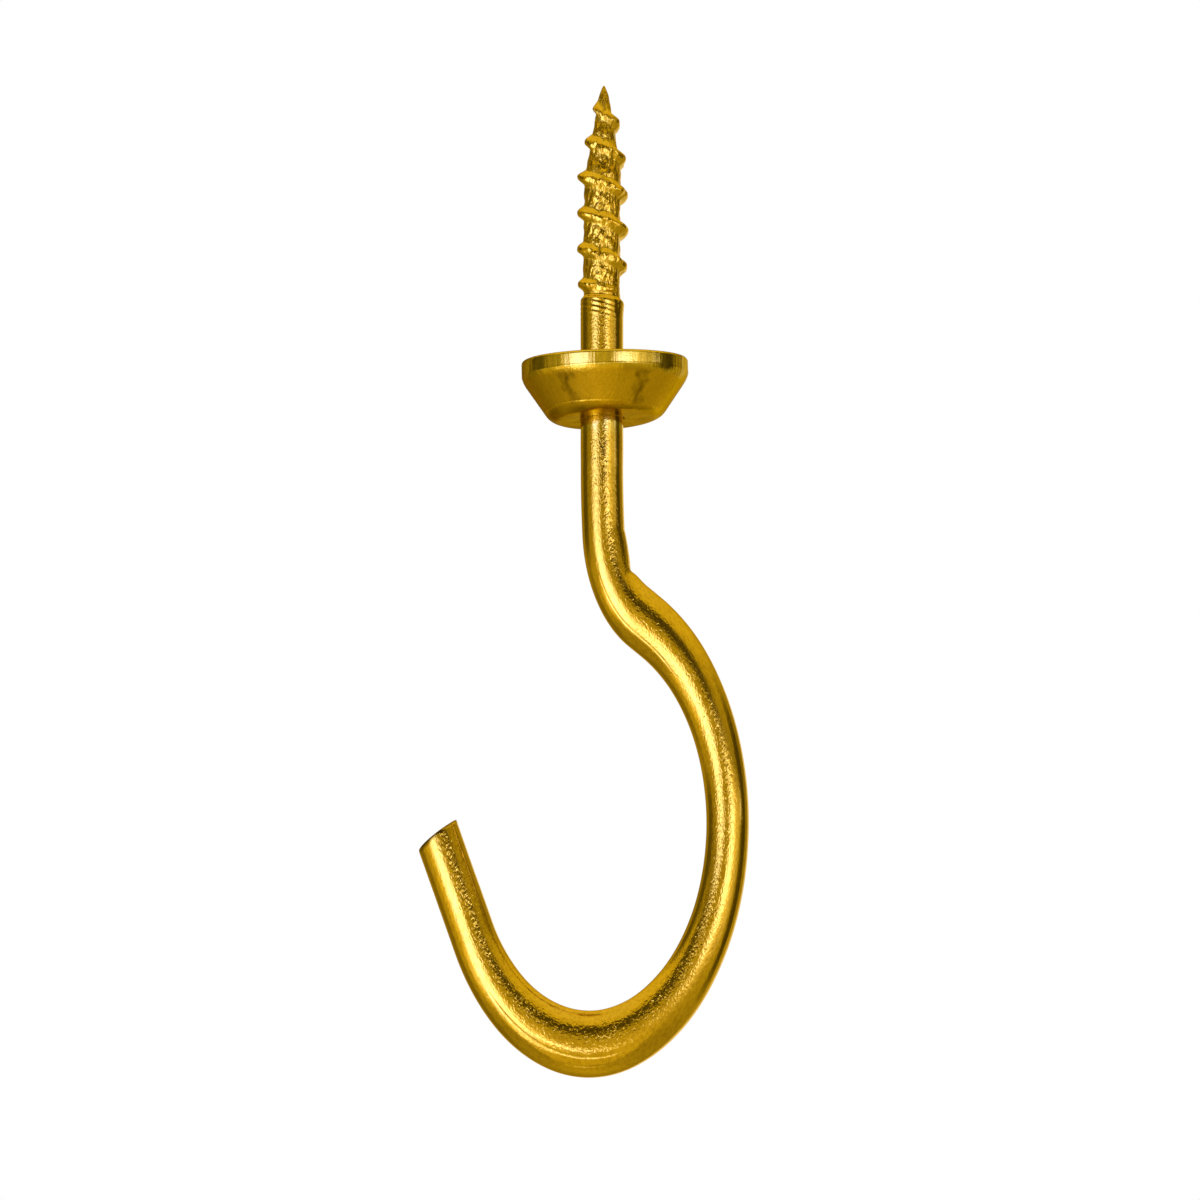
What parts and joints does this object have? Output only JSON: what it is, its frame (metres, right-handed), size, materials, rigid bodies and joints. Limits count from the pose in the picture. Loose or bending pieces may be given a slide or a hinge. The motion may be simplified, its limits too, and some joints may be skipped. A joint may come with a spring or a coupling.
{
  "type": "cup hook",
  "caption": "Wire hook with a wood-screw end and a pressed cup collar: it screws into a shelf or rail, and its open bow holds what is hung.",
  "frame": {"origin": "centre of the cup's rim, on the screw's axis, in the plane that seats against the wood", "axes": "+Z along the screw towards its point; the hook lies in the XZ plane below, bulges towards +X and opens towards -X"},
  "size_m": [0.0202, 0.0102, 0.062],
  "materials": {
    "bright_brass": "bright yellow brass plating over drawn wire, with draw lines, fine pits and dark specks",
    "satin_brass": "the same plating on pressed sheet, satin on the flank and bright at the rim"
  },
  "bodies": {
    "root": {"hook_wire": "bright_brass", "cup": "satin_brass"}
  },
  "joints": []
}
